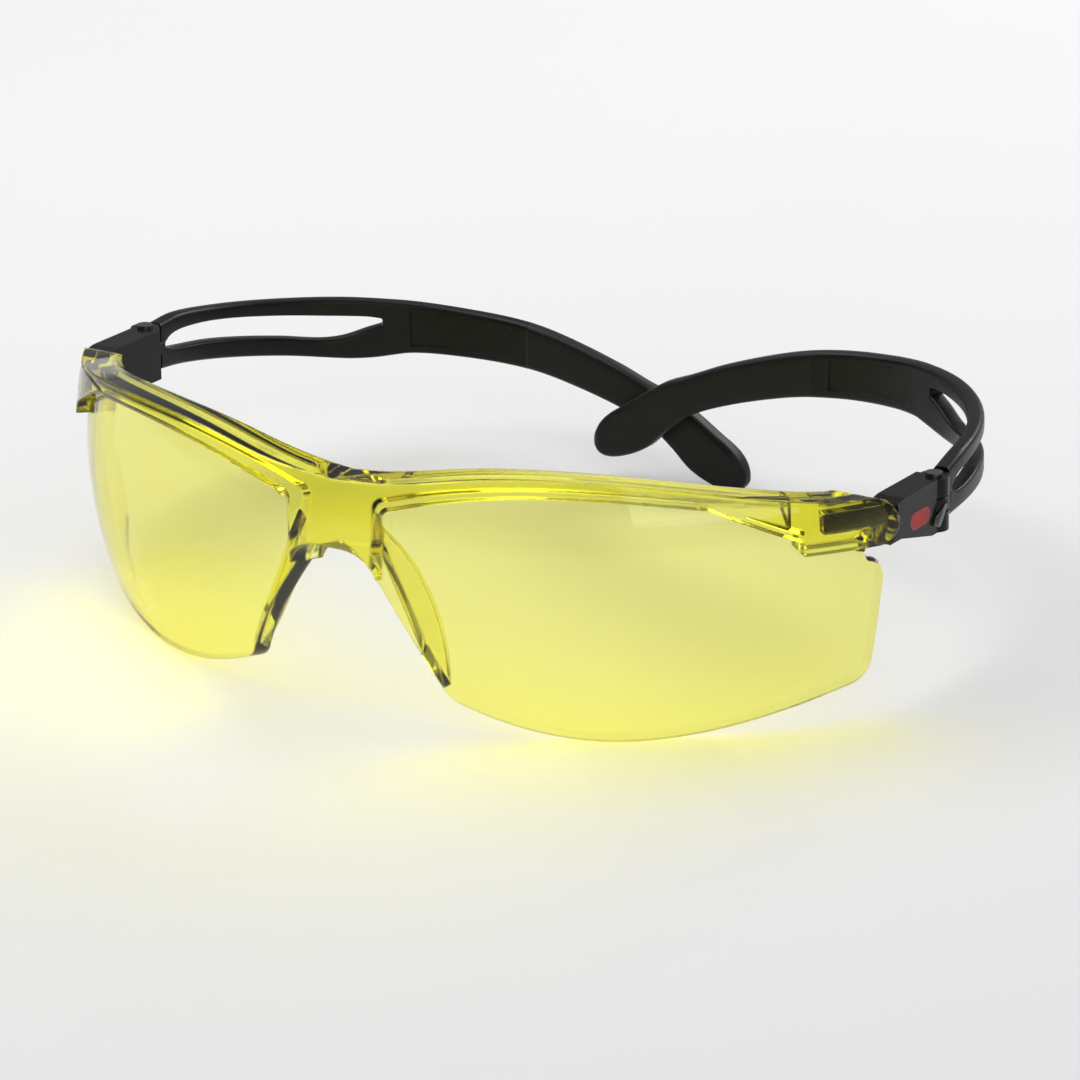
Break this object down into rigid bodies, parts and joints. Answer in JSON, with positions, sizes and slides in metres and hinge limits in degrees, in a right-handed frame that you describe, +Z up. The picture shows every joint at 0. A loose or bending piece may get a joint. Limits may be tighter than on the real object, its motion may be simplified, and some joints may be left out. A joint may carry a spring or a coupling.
{
  "type": "safety glasses",
  "caption": "Wrap-around safety glasses: clear yellow-tinted one-piece front with nose flanges, black hinge blocks and inward-curling slotted temples that fold at pinned hinges.",
  "frame": {"origin": "centre of the bounding box in plan, on the table the glasses stand on", "axes": "+X to the wearer's left, -Y the way the wearer looks, +Z up from the table"},
  "size_m": [0.1498, 0.104, 0.042],
  "materials": {
    "lens": "polished clear polycarbonate with a yellow tint",
    "hinge_block": "moulded black, semi-gloss",
    "hinge_pin": "bright steel",
    "badge": "plain red inlay",
    "temple": "moulded black, satin",
    "sleeve": "soft black overmould, satin"
  },
  "bodies": {
    "front": {"lens_front": "lens", "left_hinge_block": "hinge_block", "right_hinge_block": "hinge_block", "left_hinge_pin": "hinge_pin", "right_hinge_pin": "hinge_pin", "left_badge": "badge", "right_badge": "badge"},
    "left_temple": {"left_temple_arm": "temple", "left_temple_sleeve": "sleeve"},
    "right_temple": {"right_temple_arm": "temple", "right_temple_sleeve": "sleeve"}
  },
  "joints": [
    {"name": "left_fold", "type": "hinge", "parent": "front", "child": "left_temple", "pos_m": [0.0726, 0.00147, 0.02838], "axis": [0, 0.0828, 0.9966], "range_deg": [0, 50]},
    {"name": "right_fold", "type": "hinge", "parent": "front", "child": "right_temple", "pos_m": [-0.0726, 0.00147, 0.02838], "axis": [0, 0.0828, 0.9966], "range_deg": [-40, 0]}
  ],
  "couplings": [
    {"joint": "right_fold", "follows": "left_fold", "ratio": -0.8}
  ]
}
